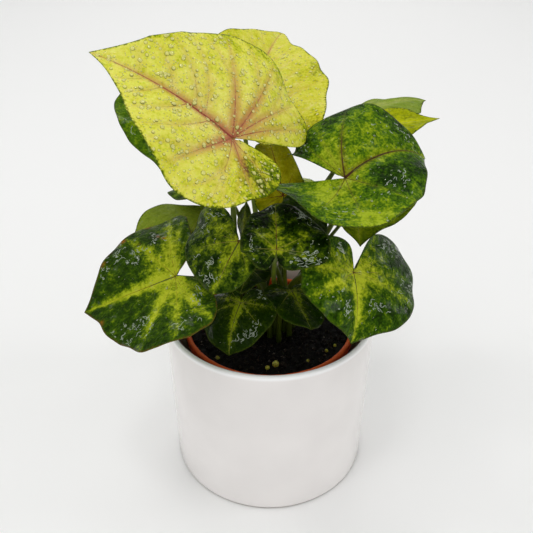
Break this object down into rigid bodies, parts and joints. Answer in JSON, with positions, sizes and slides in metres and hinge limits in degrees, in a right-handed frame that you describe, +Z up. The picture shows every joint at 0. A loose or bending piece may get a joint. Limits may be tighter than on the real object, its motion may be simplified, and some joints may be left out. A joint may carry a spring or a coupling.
{
  "type": "potted syngonium",
  "caption": "House plant with broad heart-shaped mottled leaves on slim stalks, rooted in a brown grower's pot inside a plain white glazed cover pot",
  "frame": {"origin": "the middle of the cover pot's flat foot, on the surface that it stands on", "axes": "+Z up along the pot's axis, -Y toward the viewer of the picture, +X to the right"},
  "size_m": [0.2178, 0.2078, 0.2989],
  "materials": {
    "glaze": "gloss",
    "brown_plastic": "satin",
    "potting_mix": "matte",
    "lime_leaf": "satin",
    "mottled_leaf": "gloss",
    "olive_leaf": "satin",
    "dark_leaf": "gloss"
  },
  "bodies": {
    "root": {"pot": "glaze", "nursery_pot": "brown_plastic", "soil": "potting_mix", "leaf_top_left": "lime_leaf", "leaf_top_back": "lime_leaf", "leaf_right_large": "mottled_leaf", "leaf_low_left": "mottled_leaf", "leaf_centre_left": "mottled_leaf", "leaf_centre": "mottled_leaf", "leaf_low_right": "mottled_leaf", "leaf_back_left": "mottled_leaf", "leaf_back_right": "mottled_leaf", "leaf_right_lime": "olive_leaf", "leaf_right_far": "olive_leaf", "leaf_left_pale": "olive_leaf", "leaf_olive": "olive_leaf", "leaf_under_right": "olive_leaf", "leaf_young": "olive_leaf", "leaf_left_behind": "dark_leaf", "leaf_soil_left": "dark_leaf", "leaf_soil_right": "dark_leaf", "leaf_centre_dark": "dark_leaf", "leaf_low_shade": "dark_leaf"}
  },
  "joints": []
}
